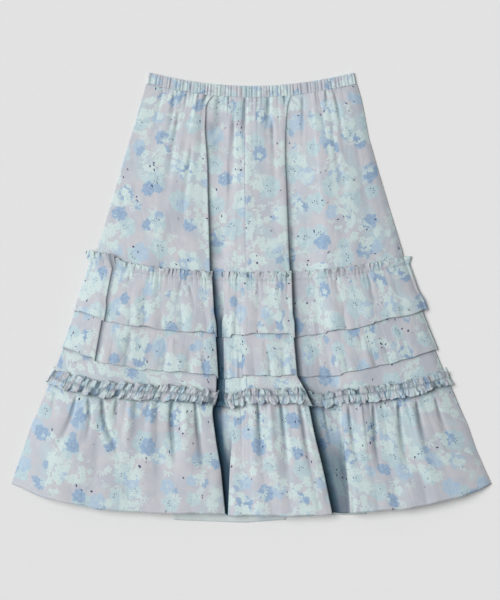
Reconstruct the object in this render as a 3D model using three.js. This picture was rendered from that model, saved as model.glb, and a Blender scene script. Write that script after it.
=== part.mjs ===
// Tiered ruffle skirt, laid flat with its front up: an elasticated waist, an A-line body in
// two front panels and a back, two ruffle tiers, a ruched frill and a gathered hem flounce.
// Millimetres. +X is the right of the laid-out skirt, +Y runs from hem to waist, +Z is up
// from the surface it lies on. "down" is the distance down the centre front from the waist.
import * as THREE from "three";

// Driving sizes
const WAIST_HALF = 170; // half the flat width at the top of the waistband
const BAND_DEPTH = 19; // elastic casing
const HEADING_TOP = 309; // free top edge of the upper ruffle
const UPPER_SEAM = 324; // where the upper ruffle is gathered on
const LOWER_SEAM = 392; // where the lower ruffle is sewn on, under the upper one
const UPPER_HEM = 409;
const LOWER_HEM = 477;
const FRILL_LINE = 518; // the body's lower edge, under the frill's stitching
const FRILL_HALF = 15; // half the frill's depth
const HEM = 708; // centre front length
const WAIST_RISE = 22.4; // how far the waistband's ends lie above its middle
const BACK_DROP = 16; // how far the back's hem hangs below the front's, at most
const WAIST_Y = (HEM + BACK_DROP - WAIST_RISE) / 2; // puts y = 0 in the middle of the length

// Cloth
const CLOTH = 1.2; // wall of every panel and ruffle
const FRILL_CLOTH = 1.0;
const BAND_WALL = 2.0; // casing with its elastic
const SEAM_GAP = 0.3;
const STACK = CLOTH + SEAM_GAP; // one layer of cloth on another
const SPREAD = 2.6; // how far each layer moves into a fold over the layer below
const SIDE_ROLL = 46; // how far in from the side the front has risen to its full height
const SIDE_WRAP = 3; // how far each ruffle reaches round the side of what it lies on
const FOLD_COLUMNS = 3; // columns of every piece through one fold
const LEAN_FROM = 60; // how far down from the waist a fold's lip has come over its foot
const LEAN_PEAK = 2.33; // makes a fold's lean the most that its lip moves
const CALM_FROM = 0.8; // a piece's own waves begin this many half widths from a fold's middle
const CALM_OVER = 1.6; // and reach their full height over this many more

// The flat outline: half width, how far the sides lie above the centre, and the power of
// that upward curve. The front's puffed height is over the back it lies on.
const OUTLINE = [
  { down: 0, half: WAIST_HALF, rise: WAIST_RISE, curve: 1.9, puff: 2 },
  { down: BAND_DEPTH, half: 173.5, rise: WAIST_RISE, curve: 1.9, puff: 2.8 },
  { down: 90, half: 194, rise: 23, curve: 2, puff: 6.5 },
  { down: 300, half: 255, rise: 25, curve: 2.2, puff: 11 },
  { down: UPPER_HEM, half: 289, rise: 37, curve: 2.4, puff: 12 },
  { down: LOWER_HEM, half: 311, rise: 41, curve: 2.5, puff: 13 },
  { down: FRILL_LINE, half: 329, rise: 41, curve: 2.9, puff: 14.5 },
  { down: 605, half: 363, rise: 45, curve: 3.3, puff: 17.5 },
  { down: HEM, half: 397, rise: 48, curve: 3.8, puff: 19 },
];

// The folds of the front, from left to right: where each lies at FOLD_DOWNS, half its width,
// the share of the puffed height that it falls (+) or rises (-), and how far its lip leans
// over its foot. The flap is in the two ruffles alone.
const FOLD_DOWNS = [0, 300, UPPER_HEM, LOWER_HEM, FRILL_LINE, 545, 636, HEM];
const FOLDS = [
  { name: "flap", at: [-128, -229, -249, -262, -270, -280, -308, -330], half: 3, fall: 0.3, lean: 1 },
  { name: "leftFall", at: [-76, -70.5, -64, -59, -60.5, -68, -52, -45], half: 3, fall: 0.94, lean: 2.2 },
  { name: "leftRise", at: [-66, -45, -43, -42.5, -43.5, -30, -35.5, -38.5], half: 3, fall: -0.5, lean: 2 },
  { name: "tuck", at: [-24, -19, -17, -15, -14, -10, -6, -2], half: 3, fall: -0.22, lean: 1 },
  { name: "rightFall", at: [53, 62, 65, 71.5, 90, 96, 117, 132.5], half: 3, fall: 0.94, lean: 2.2 },
  { name: "nearRise", at: [66, 78, 87, 90, 106, 112, 131, 146.5], half: 6, fall: -0.34, lean: 0 },
  { name: "farRise", at: [82, 100, 122, 140, 150, 152, 158, 163], half: 5, fall: -0.6, lean: 1 },
];
// The floor between these two folds slopes up by a share of the puffed height
const VALLEY = { from: FOLDS[1], to: FOLDS[2], rise: 0.22 };
const BODY_FOLDS = FOLDS.filter((fold) => fold.name !== "flap");
const SEAM_AT = [-12, -10, -9, -8, -7, -6, 0, 4]; // the centre front seam, right of the tuck

// How high the underside of the back body lies, over the back's own ruffles, and how high
// the front's layers are carried by what is behind them
const BACK_REST = [
  { down: 0, under: 0 },
  { down: 290, under: 0 },
  { down: 306, under: STACK },
  { down: 382, under: STACK },
  { down: 390, under: 2 * STACK },
  { down: 410, under: 2 * STACK },
  { down: 428, under: STACK },
  { down: 536, under: STACK },
  { down: 556, under: 0 },
];
const FRONT_REST = [
  { down: 0, under: 0 },
  { down: 230, under: 0 },
  { down: 300, under: STACK },
  { down: 380, under: 2 * STACK },
  { down: UPPER_HEM, under: 2 * STACK },
  { down: LOWER_HEM, under: STACK },
  { down: 545, under: STACK },
  { down: 585, under: 0 },
];

// The side of a ruffle, from its edge inwards: how far out of its reach past the body each
// column lies, and how far of the way down to the back ruffle's edge it has come
const SIDE_DROP = [
  { out: 1, drop: 1 },
  { out: 0.97, drop: 0.5 },
  { out: 0.75, drop: 0.08 },
];

// Number helpers
const clamp01 = (t) => Math.min(1, Math.max(0, t));
const smooth = (t) => clamp01(t) ** 2 * (3 - 2 * clamp01(t));
const mix = (a, b, t) => a + (b - a) * t;

// The value of a column where another, down as a rule, is at a place: straight lines between
// the rows, and the end rows' values past them
function tableAt(rows, column, place, along = "down") {
  const next = rows.findIndex((row) => row[along] > place);
  if (next === 0) return rows[0][column];
  if (next < 0) return rows[rows.length - 1][column];
  const [a, b] = [rows[next - 1], rows[next]];
  return mix(a[column], b[column], (place - a[along]) / (b[along] - a[along]));
}

const listAt = (values, down) =>
  tableAt(FOLD_DOWNS.map((d, i) => ({ down: d, value: values[i] })), "value", down);

const halfWidth = (down) => tableAt(OUTLINE, "half", down);
const backUnder = (down) => tableAt(BACK_REST, "under", down);
const frontRest = (down) => tableAt(FRONT_REST, "under", down) + CLOTH + SEAM_GAP + CLOTH / 2;

// y of a point: the sides of every seam and hem sweep up from the centre
function lineY(x, down) {
  const across = Math.abs(x) / halfWidth(down);
  return WAIST_Y - down + tableAt(OUTLINE, "rise", down) * across ** tableAt(OUTLINE, "curve", down);
}

// A fold's place for one layer: layers move into the fold from both of its sides
const foldAt = (fold, down, rank) => listAt(fold.at, down) + Math.sign(fold.fall) * SPREAD * rank;

// The shape across the front at one distance down: x leans over each fold's foot, and the
// height falls and rises in smooth steps. calm fades a piece's own waves in folds and sides.
function crossSection(flatX, down, rank, half, folds) {
  let x = flatX;
  let share = 1;
  let calm = 1;
  for (const fold of folds) {
    const t = (flatX - foldAt(fold, down, rank)) / fold.half;
    const passed = smooth((t + 1) / 2);
    share -= fold.fall * (fold.name === "flap" ? passed - 1 : passed);
    x -= fold.lean * smooth(down / LEAN_FROM) * LEAN_PEAK * t * Math.exp(-t * t);
    calm = Math.min(calm, smooth((Math.abs(t) - CALM_FROM) / CALM_OVER));
  }
  const foot = listAt(VALLEY.from.at, down) + VALLEY.from.half;
  const top = listAt(VALLEY.to.at, down) - VALLEY.to.half;
  share += VALLEY.rise * clamp01((flatX - foot) / (top - foot));
  const side = clamp01((half - Math.abs(flatX)) / SIDE_ROLL);
  const roll = Math.sin((side * Math.PI) / 2);
  return { x, height: tableAt(OUTLINE, "puff", down) * share * roll, calm: calm * roll };
}

// A gather: 0 in the trough and 1 on the crest, uneven from one to the next
const gather = (count, seed) =>
  0.5 + 0.5 * Math.cos(2 * Math.PI * count) * (0.72 + 0.28 * Math.sin(1.9 * count + seed));

const spanColumns = (gathers, steps) => Math.max(1, Math.round(gathers * steps));

// The columns of a front piece: a flat x and a running count of gathers at each. spans gives
// the gathers between one fold and the next, and steps the columns of each gather.
function columns(down, rank, half, folds, spans, steps) {
  const marks = [-half];
  for (const fold of folds) {
    const at = foldAt(fold, down, rank);
    marks.push(at - fold.half, at + fold.half);
  }
  marks.push(half);
  const list = [{ x: -half, count: 0 }];
  let count = 0;
  for (let k = 0; k < marks.length - 1; k++) {
    const n = k % 2 ? FOLD_COLUMNS : spanColumns(spans[k / 2], steps);
    for (let j = 1; j <= n; j++) {
      count += k % 2 ? 0 : 1 / steps;
      list.push({ x: mix(marks[k], marks[k + 1], j / n), count });
    }
  }
  return list;
}

// Unit normals of a grid of points, facing +Z where the cloth lies flat
function gridNormals(grid) {
  const rows = grid.length;
  const count = grid[0].length;
  return grid.map((row, i) =>
    row.map((_, j) => {
      const alongX = grid[i][Math.min(j + 1, count - 1)].clone().sub(grid[i][Math.max(j - 1, 0)]);
      const alongY = grid[Math.max(i - 1, 0)][j].clone().sub(grid[Math.min(i + 1, rows - 1)][j]);
      return alongX.cross(alongY).normalize();
    }),
  );
}

// A closed wall between an upper and a lower grid of points. closed joins the last column
// to the first, for a band that runs all the way round.
function wallBetween(upper, lower, closed = false) {
  const rows = upper.length;
  const count = upper[0].length;
  const positions = [];
  for (const p of [...upper, ...lower].flat()) positions.push(p.x, p.y, p.z);
  const index = [];
  const id = (side, i, j) => side * rows * count + i * count + (j % count);
  const quad = (a, b, c, d) => index.push(a, b, c, a, c, d);
  const lastColumn = closed ? count : count - 1;
  for (let i = 0; i < rows - 1; i++)
    for (let j = 0; j < lastColumn; j++) {
      quad(id(0, i, j), id(0, i + 1, j), id(0, i + 1, j + 1), id(0, i, j + 1));
      quad(id(1, i, j), id(1, i, j + 1), id(1, i + 1, j + 1), id(1, i + 1, j));
    }
  for (let j = 0; j < lastColumn; j++) {
    quad(id(0, 0, j), id(0, 0, j + 1), id(1, 0, j + 1), id(1, 0, j));
    quad(id(0, rows - 1, j + 1), id(0, rows - 1, j), id(1, rows - 1, j), id(1, rows - 1, j + 1));
  }
  if (!closed)
    for (let i = 0; i < rows - 1; i++) {
      quad(id(0, i + 1, 0), id(0, i, 0), id(1, i, 0), id(1, i + 1, 0));
      quad(id(0, i, count - 1), id(0, i + 1, count - 1), id(1, i + 1, count - 1), id(1, i, count - 1));
    }
  const geometry = new THREE.BufferGeometry();
  geometry.setAttribute("position", new THREE.Float32BufferAttribute(positions, 3));
  geometry.setIndex(index);
  geometry.computeVertexNormals();
  return geometry;
}

// A wall of even thickness round a grid of middle points
function wallRound(grid, thickness) {
  const normals = gridNormals(grid);
  const moved = (by) => grid.map((row, i) => row.map((p, j) => p.clone().addScaledVector(normals[i][j], by)));
  return wallBetween(moved(thickness / 2), moved(-thickness / 2));
}

// A front piece, as a grid of middle points. lift(count, down, calm) is its own height over
// the layers below, wrap how far its sides reach past the body, and sideEnd the height at
// which they end.
function frontGrid({ downs, rankAt, folds, spans, steps, lift, wrap = 0, sideEnd }) {
  return downs.map((down) => {
    const rank = rankAt(down);
    const half = halfWidth(down);
    const rest = frontRest(down) + STACK * rank;
    const middle = columns(down, rank, half, folds, spans, steps).map(({ x: flatX, count }) => {
      const shape = crossSection(flatX, down, rank, half, folds);
      const z = rest + shape.height + lift(count, down, shape.calm);
      return new THREE.Vector3(shape.x, lineY(flatX, down), z);
    });
    if (!wrap) return middle;
    const sideColumns = (side) =>
      SIDE_DROP.map(({ out, drop }) => {
        const x = side * (half + wrap * out);
        return new THREE.Vector3(x, lineY(x, down), mix(rest, sideEnd(down), drop));
      });
    return [...sideColumns(-1), ...middle, ...sideColumns(1).reverse()];
  });
}

// Waistband: a flattened ring, its front wall gathered by the elastic, its back wall flat
const BAND_GATHERS = 48;
const BAND_PINCH = 0.7; // how much thinner the casing is at its fold and at its stitching
const BAND_EDGE = 2.5; // how far in from there it has its full thickness
const BAND_ROWS = [
  { down: 0, pinch: BAND_PINCH },
  { down: BAND_EDGE, pinch: 0 },
  { down: BAND_DEPTH - BAND_EDGE, pinch: 0 },
  { down: BAND_DEPTH, pinch: BAND_PINCH },
];
const BAND_PUCKER = 1.1;
const BAND_TURN = 4; // steps round each end
const BAND_BACK_STEPS = 8;

function waistband() {
  const bend = BAND_WALL + SEAM_GAP / 2; // from the middle of the slot to the outer face
  const steps = 2 * BAND_GATHERS;
  // One run round the ring at a distance down: reach is how far it lies from the slot's middle
  const ring = ({ down, pinch }, reach, frontHeight) => {
    const half = halfWidth(down) - bend;
    const points = [];
    const place = (x, z) => points.push(new THREE.Vector3(x, lineY(x, down), z));
    for (let j = 0; j <= steps; j++)
      place(mix(-half, half, j / steps), bend + frontHeight(j / 2) - (reach > SEAM_GAP ? pinch : 0));
    for (let j = 1; j < BAND_TURN; j++) {
      const a = Math.PI / 2 - (Math.PI * j) / BAND_TURN;
      place(half + reach * Math.cos(a), bend + reach * Math.sin(a));
    }
    for (let j = 0; j <= BAND_BACK_STEPS; j++) place(mix(half, -half, j / BAND_BACK_STEPS), bend - reach);
    for (let j = 1; j < BAND_TURN; j++) {
      const a = -Math.PI / 2 - (Math.PI * j) / BAND_TURN;
      place(-half + reach * Math.cos(a), bend + reach * Math.sin(a));
    }
    return points;
  };
  const outer = BAND_ROWS.map((row) => ring(row, bend, (count) => bend + BAND_PUCKER * gather(count, 0.4)));
  const inner = BAND_ROWS.map((row) => ring(row, SEAM_GAP / 2, () => SEAM_GAP / 2));
  return wallBetween(outer, inner, true);
}

// Front body, cut in two panels at the centre front seam
const BODY_ROWS = [BAND_DEPTH + SEAM_GAP, 40, 90, 160, 230, 300, 380, UPPER_HEM, LOWER_HEM, FRILL_LINE];
const BODY_SPANS = [4, 0, 1.5, 3.5, 0, 0, 5];
const BODY_STEPS = 2;
const SPANS_LEFT_OF_SEAM = 3;
const BODY_PUCKER = 1.5; // the waist's gathers, which fade out down the body
const BODY_PUCKER_LENGTH = 110;

function bodyPanels() {
  const fade = (down) => 1 - smooth((down - BAND_DEPTH) / BODY_PUCKER_LENGTH);
  const grid = frontGrid({
    downs: BODY_ROWS,
    rankAt: () => 0,
    folds: BODY_FOLDS,
    spans: BODY_SPANS,
    steps: BODY_STEPS,
    lift: (count, down, calm) => BODY_PUCKER * fade(down) * calm * (gather(count, 1.1) - 0.5),
  });
  // Each panel ends on the seam's own line, in place of the column next to the tuck
  const passed = BODY_SPANS.slice(0, SPANS_LEFT_OF_SEAM);
  const seamColumn = passed.reduce((sum, n) => sum + spanColumns(n, BODY_STEPS) + FOLD_COLUMNS, 1);
  const onSeam = (p, i, side) => {
    const x = listAt(SEAM_AT, BODY_ROWS[i]) + (side * SEAM_GAP) / 2;
    return new THREE.Vector3(x, lineY(x, BODY_ROWS[i]), p.z);
  };
  return {
    left: grid.map((row, i) => [...row.slice(0, seamColumn), onSeam(row[seamColumn], i, -1)]),
    right: grid.map((row, i) => [onSeam(row[seamColumn], i, 1), ...row.slice(seamColumn + 1)]),
  };
}

// Lower ruffle: plain at its hidden seam, with slack waves at its hem
const LOWER_ROWS = [LOWER_SEAM, UPPER_HEM, 440, LOWER_HEM];
const LOWER_SPANS = [1.5, 3.5, 0, 1, 2, 0, 0.5, 3.5];
const LOWER_WAVE = 1.8;
const backLowerUnder = (down) => Math.max(0, backUnder(down) - STACK);

const lowerRuffle = () =>
  frontGrid({
    downs: LOWER_ROWS,
    rankAt: () => 1,
    folds: FOLDS,
    spans: LOWER_SPANS,
    steps: 3,
    lift: (count, down, calm) =>
      LOWER_WAVE * smooth((down - UPPER_HEM) / (LOWER_HEM - UPPER_HEM)) * calm * gather(count, 2.3),
    wrap: SIDE_WRAP,
    sideEnd: (down) => backLowerUnder(down) + CLOTH + SEAM_GAP,
  });

// Upper ruffle: a ruffled heading above its seam, and gathers below it that fade into slack
// waves. It lies on the body, then on the lower ruffle.
const CLIMB = { from: 376, to: 390 }; // where it steps up on to the lower ruffle's top edge
const UPPER_ROWS = [HEADING_TOP, UPPER_SEAM, 348, CLIMB.from, CLIMB.to, UPPER_HEM];
const UPPER_SPANS = [3, 11, 0, 2, 6, 0, 1, 11];
const HEADING_WAVE = 3.4;
const HEADING_LIFT = 0.8;
const SEAM_PUCKER = 0.9;
const SEAM_PUCKER_LENGTH = 30;
const UPPER_WAVE = 1.6;

function upperLift(count, down, calm) {
  const heading = smooth((UPPER_SEAM - down) / (UPPER_SEAM - HEADING_TOP));
  const below = smooth((down - UPPER_SEAM) / SEAM_PUCKER_LENGTH);
  const hem = smooth((down - UPPER_SEAM) / (UPPER_HEM - UPPER_SEAM));
  const fine = (HEADING_WAVE * heading + SEAM_PUCKER * (1 - 0.6 * below)) * gather(count, 0.2);
  return calm * (fine + HEADING_LIFT * heading + UPPER_WAVE * hem * gather(count / 3, 1.7));
}

const upperRuffle = () =>
  frontGrid({
    downs: UPPER_ROWS,
    rankAt: (down) => 1 + clamp01((down - CLIMB.from) / (CLIMB.to - CLIMB.from)),
    folds: FOLDS,
    spans: UPPER_SPANS,
    steps: 3,
    lift: upperLift,
    wrap: 2 * SIDE_WRAP,
    sideEnd: () => CLOTH + SEAM_GAP,
  });

// Frill: a strip ruched along its middle, so both of its edges stand up in flutes
const FRILL_ROWS = [-1, -0.45, 0, 0.45, 1].map((step) => FRILL_LINE + step * FRILL_HALF);
const FRILL_SPANS = [18, 0, 2, 7, 0, 2, 12];
const FRILL_WAVE = 4.4;
const FRILL_CLEARANCE = 1.5; // over the gathers of the flounce's top

function frillLift(count, down, calm) {
  const step = (down - FRILL_LINE) / FRILL_HALF;
  const flare = mix(0.2, 1, Math.abs(step) ** 1.3) * mix(0.4, 1, calm);
  return FRILL_CLEARANCE + FRILL_WAVE * flare * gather(count + 0.12 * step, 0.9);
}

const frill = () =>
  frontGrid({
    downs: FRILL_ROWS,
    rankAt: () => 1,
    folds: BODY_FOLDS,
    spans: FRILL_SPANS,
    steps: 3,
    lift: frillLift,
    wrap: 2 * SIDE_WRAP,
    sideEnd: () => FRILL_CLOTH + SEAM_GAP,
  });

// Flounce: tight gathers under the frill that open into broad waves at the hem
const FLOUNCE_ROWS = [FRILL_LINE + SEAM_GAP, 545, 585, 625, 668, HEM];
const FLOUNCE_SPANS = [8, 0, 1, 5, 0, 1, 9];
const FLOUNCE_PUCKER = 1.2;
const FLOUNCE_WAVE = 3.6;

function flounceLift(count, down, calm) {
  const open = smooth((down - FRILL_LINE) / (HEM - FRILL_LINE));
  const fine = FLOUNCE_PUCKER * (1 - 0.4 * open) * gather(count, 0.6);
  return calm * (fine + FLOUNCE_WAVE * open * gather(count / 3, 2.9));
}

const flounce = () =>
  frontGrid({
    downs: FLOUNCE_ROWS,
    rankAt: () => 0,
    folds: BODY_FOLDS,
    spans: FLOUNCE_SPANS,
    steps: 3,
    lift: flounceLift,
  });

// How far the back's hem hangs below the front's: two of its own folds step it at their edges
const FOLD_EDGE = 0.5;
const BACK_HEM = [
  { x: -130 - FOLD_EDGE, drop: 0 },
  { x: -130, drop: 12 },
  { x: -10, drop: BACK_DROP },
  { x: 57, drop: 11 },
  { x: 57 + FOLD_EDGE, drop: 6.5 },
  { x: 102, drop: 6 },
  { x: 102 + FOLD_EDGE, drop: 3.5 },
  { x: 190, drop: 5 },
  { x: 190 + FOLD_EDGE, drop: 0 },
];
const BACK_HEM_FROM = 660;

function backHemY(x, down) {
  const nearHem = smooth((down - BACK_HEM_FROM) / (HEM - BACK_HEM_FROM));
  return lineY(x, down) - nearHem * tableAt(BACK_HEM, "drop", x, "x");
}

// Back pieces lie flat, one on another, level where they rest on the surface
const BACK_COLUMNS = 18;
const BACK_PIECES = [
  {
    name: "body_back",
    downs: [BAND_DEPTH + SEAM_GAP, 150, 290, 306, 382, 390, 410, 428, FRILL_LINE],
  },
  {
    name: "ruffle_upper_back",
    downs: [HEADING_TOP, UPPER_HEM],
    under: () => 0,
    reach: 2 * SIDE_WRAP + CLOTH / 2,
  },
  {
    name: "ruffle_lower_back",
    downs: [LOWER_SEAM, 410, 428, LOWER_HEM],
    under: backLowerUnder,
    reach: SIDE_WRAP + CLOTH / 2,
  },
  {
    name: "frill_back",
    downs: [FRILL_ROWS[0], FRILL_LINE, FRILL_ROWS[4]],
    under: () => 0,
    reach: 2 * SIDE_WRAP + FRILL_CLOTH / 2,
    cloth: FRILL_CLOTH,
  },
  {
    name: "flounce_back",
    downs: [FRILL_LINE + SEAM_GAP, 536, 556, BACK_HEM_FROM, (BACK_HEM_FROM + HEM) / 2, HEM],
    y: backHemY,
    marks: BACK_HEM.map((row) => row.x),
  },
];

function backPiece({ downs, under = backUnder, reach = 0, cloth = CLOTH, y = lineY, marks = [] }) {
  const grid = (height) =>
    downs.map((down) => {
      const half = halfWidth(down) + reach;
      const even = Array.from({ length: BACK_COLUMNS + 1 }, (_, j) => mix(-half, half, j / BACK_COLUMNS));
      const all = [...even, ...marks].sort((a, b) => a - b);
      return all.map((x) => new THREE.Vector3(x, y(x, down), under(down) + height));
    });
  return wallBetween(grid(cloth), grid(0));
}

// Every piece is cut from one cotton lawn, its print taken together as one pale blue
const cotton = () => new THREE.MeshStandardMaterial({ color: 0xbcc9d4, roughness: 0.85, metalness: 0 });

const skirt = new THREE.Group();

function addPiece(name, geometry) {
  const mesh = new THREE.Mesh(geometry, cotton());
  mesh.name = name;
  skirt.add(mesh);
}

const panels = bodyPanels();
addPiece("waistband", waistband());
addPiece("body_front_left", wallRound(panels.left, CLOTH));
addPiece("body_front_right", wallRound(panels.right, CLOTH));
addPiece("ruffle_upper_front", wallRound(upperRuffle(), CLOTH));
addPiece("ruffle_lower_front", wallRound(lowerRuffle(), CLOTH));
addPiece("frill_front", wallRound(frill(), FRILL_CLOTH));
addPiece("flounce_front", wallRound(flounce(), CLOTH));
for (const piece of BACK_PIECES) addPiece(piece.name, backPiece(piece));

export default skirt;
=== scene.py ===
"""Tiered ruffle skirt, laid flat with its front up, seen from straight above.

Lengths are millimetres in the form functions and become metres in the meshes. +X is the right
of the laid-out skirt, +Y runs from hem to waist, +Z is up. "down" is the distance down the
centre front from the waist, "flat" the x of a point before the folds move it, and "rank" the
number of layers of the front that lie under a piece.
"""

from types import SimpleNamespace

import bpy
import numpy as np
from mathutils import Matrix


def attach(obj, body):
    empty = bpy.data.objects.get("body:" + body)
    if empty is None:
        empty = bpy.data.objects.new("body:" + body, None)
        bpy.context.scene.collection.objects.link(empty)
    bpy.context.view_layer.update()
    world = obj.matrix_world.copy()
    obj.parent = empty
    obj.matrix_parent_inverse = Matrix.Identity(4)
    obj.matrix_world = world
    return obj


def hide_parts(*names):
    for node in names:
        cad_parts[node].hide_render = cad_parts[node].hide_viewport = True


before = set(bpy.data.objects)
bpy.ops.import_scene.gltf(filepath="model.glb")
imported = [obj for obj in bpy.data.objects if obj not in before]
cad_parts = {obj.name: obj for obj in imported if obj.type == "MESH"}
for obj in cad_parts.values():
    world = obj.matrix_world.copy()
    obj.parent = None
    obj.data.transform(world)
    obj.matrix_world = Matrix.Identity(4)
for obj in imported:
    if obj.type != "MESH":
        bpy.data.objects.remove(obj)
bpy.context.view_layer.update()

MM = 0.001

# Driving sizes
WAIST_HALF = 170
BAND_DEPTH = 19
HEADING_TOP = 309
UPPER_SEAM = 324
LOWER_SEAM = 392
UPPER_HEM = 409
LOWER_HEM = 477
FRILL_LINE = 518
FRILL_HALF = 15
HEM = 708
WAIST_RISE = 22.4
BACK_DROP = 16
WAIST_Y = (HEM + BACK_DROP - WAIST_RISE) / 2

# Cloth: the room that each layer takes, and the wall that is drawn in it
LAYER = 1.5
CLOTH_WALL = 0.5
FRONT_GAP = 2.1
SPREAD = 2.6
SIDE_ROLL = 100
SIDE_WRAP = 3
FRILL_WALL = 0.45
BACK_GAP = 0.3
FOLD_COLUMNS = 14

# A rolled side: its half turns, its points, and how far it ends below the front over it
SIDE_TURN = 0.58
SIDE_POINTS = 7
SIDE_DROP = 1.6

# How far a trough of the front may sink into its gap, and how softly it stops there
FLOOR_DROP = 0.7
FLOOR_SOFT = 0.6

# How far away a line of stitches is that a piece doesn't have
NO_STITCH = 999

# The flat outline: down, half width, how far the sides lie above the centre, the power of
# that upward curve on the left and on the right, and the front's puffed height
OUTLINE = [
    (0, WAIST_HALF, WAIST_RISE, 1.9, 1.9, 2),
    (BAND_DEPTH, 173.5, WAIST_RISE, 1.9, 1.9, 2.8),
    (90, 194, 23, 2, 2, 6.5),
    (300, 255, 25, 2.2, 2.2, 11),
    (UPPER_HEM, 289, 37, 2.4, 2.4, 12),
    (LOWER_HEM, 311, 41, 2.5, 2.5, 13),
    (FRILL_LINE, 329, 41, 3.4, 2.6, 14.5),
    (605, 363, 45, 3.6, 3.1, 17.5),
    (HEM, 397, 48, 3.8, 3.8, 19),
]

# The folds of the front from left to right: x of each fold at FOLD_DOWNS, half its width, the
# share of the puffed height that it falls (+) or rises (-), how far its lip leans over, how many
# times wider it is above the tiers, and where it has narrowed
FOLD_DOWNS = [0, 33, 77, 125, 172, 300, 409, 477, 518, 540, 590, 636, 708]


def fold(at, half, fall, lean, soft=1, soft_to=310):
    return SimpleNamespace(at=at, half=half, fall=fall, lean=lean, soft=soft, soft_to=soft_to)


FLAP = fold(
    [-128, -139, -154, -170, -186, -229, -249, -262, -270, -277, -294, -308, -330], 3, 0.4, 1
)
LEFT_FALL = fold(
    [-46, -77, -79, -75, -74, -70.5, -64, -59, -60.5, -67, -60, -52, -45], 3, 0.94, 3.2
)
LEFT_RISE = fold(
    [-50, -48, -46, -44, -44, -43, -43, -42.5, -43.5, -29, -32, -35.5, -38.5], 3, -0.5, 2, soft=6
)
TUCK = fold(
    [-24, -23.5, -22.7, -21.9, -21, -19, -17, -15, -14, -10, -8, -6, -2],
    3, -0.22, 1, soft=5, soft_to=900,
)
RIGHT_FALL = fold(
    [76, 59, 55.5, 55.2, 57.3, 62, 65, 71.5, 90, 95, 106, 117, 132.5],
    3, 0.94, 3.2, soft=1.6, soft_to=330,
)
NEAR_RISE = fold(
    [70, 72, 74, 76, 78, 80, 87, 90, 106, 111, 121, 131, 146.5], 6, -0.34, 0, soft=2, soft_to=480
)
FAR_RISE = fold(
    [92, 94, 96.6, 99.5, 102, 106, 122, 140, 150, 151.5, 155, 158, 163],
    5, -0.6, 1, soft=4, soft_to=500,
)
BODY_FOLDS = [LEFT_FALL, LEFT_RISE, TUCK, RIGHT_FALL, NEAR_RISE, FAR_RISE]
FOLDS = [FLAP, *BODY_FOLDS]

# The floor between the left fall and rise slopes up by this share of the puffed height
VALLEY_RISE = 0.22

# The centre front seam: down, and its x there
SEAM = [(0, -12), (300, -10), (UPPER_HEM, -9), (LOWER_HEM, -8), (FRILL_LINE, -7)]

# The painted shade in the left and in the right fold: down, how far its core reaches from the
# fold's lip, the share of that which is fully dark, how dark the core is and how dark the floor is
LEFT_SHADE = [
    (0, 4, 0.2, 0, 0), (30, 4, 0.2, 0.2, 0), (120, 5, 0.2, 0.22, 0), (245, 11, 0.25, 0.42, 0.05),
    (360, 20, 0.4, 0.92, 0.2), (480, 21, 0.5, 1, 0.3), (530, 23, 0.55, 1, 0.52),
    (590, 20, 0.6, 1, 0.8), (650, 18, 0.7, 1, 0.92), (HEM, 18, 0.8, 1, 0.95),
]
RIGHT_SHADE = [
    (0, 4, 0.2, 0, 0), (30, 4, 0.2, 0.2, 0), (120, 5, 0.2, 0.2, 0), (245, 11, 0.2, 0.28, 0.1),
    (360, 14, 0.2, 0.48, 0.34), (480, 16, 0.25, 0.6, 0.38), (530, 18, 0.3, 0.68, 0.66),
    (590, 20, 0.3, 0.7, 0.76), (650, 22, 0.4, 0.74, 0.76),
    (HEM, 24, 0.5, 0.8, 0.72),
]

# How far the frill lies above its even line: x, millimetres
FRILL_SHIFT = [
    (-334, -5), (-301, -4), (-260, -1), (-218, 4), (-135, 8), (-94, 6), (-66, 2), (-52, -2.5),
    (-26, -2.5), (-8, 5), (86, 5), (104, -6), (122, -6), (155, 0), (197, -2.5), (280, -7),
    (330, -6),
]

# How far the right side lies inside the outline: y, millimetres
RIGHT_INSET = [
    (-312, 0), (-287, 3), (-250, 6.5), (-154, 6.5), (-91, 5), (-38, 3), (-5, 2), (12, 6), (268, 7),
    (330, 0),
]

# How far the right side of a piece draws in below the tier over it, as a share of its half width
LOWER_INSET = [(LOWER_SEAM, 0.024), (UPPER_HEM, 0.024), (LOWER_HEM, 0)]
BODY_INSET = [(300, 0), (335, 0.03), (466, 0.03), (482, 0.012), (FRILL_LINE, 0)]

# How high each layer is carried by what is behind it: down, height
BACK_REST = [
    (0, 0), (290, 0), (306, 1.5), (382, 1.5), (390, 3), (410, 3), (428, 1.5), (536, 1.5), (556, 0),
]
FRONT_REST = [
    (0, 0), (230, 0), (300, 1.5), (380, 3), (UPPER_HEM, 3), (LOWER_HEM, 1.5), (545, 1.5), (585, 0),
]

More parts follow.
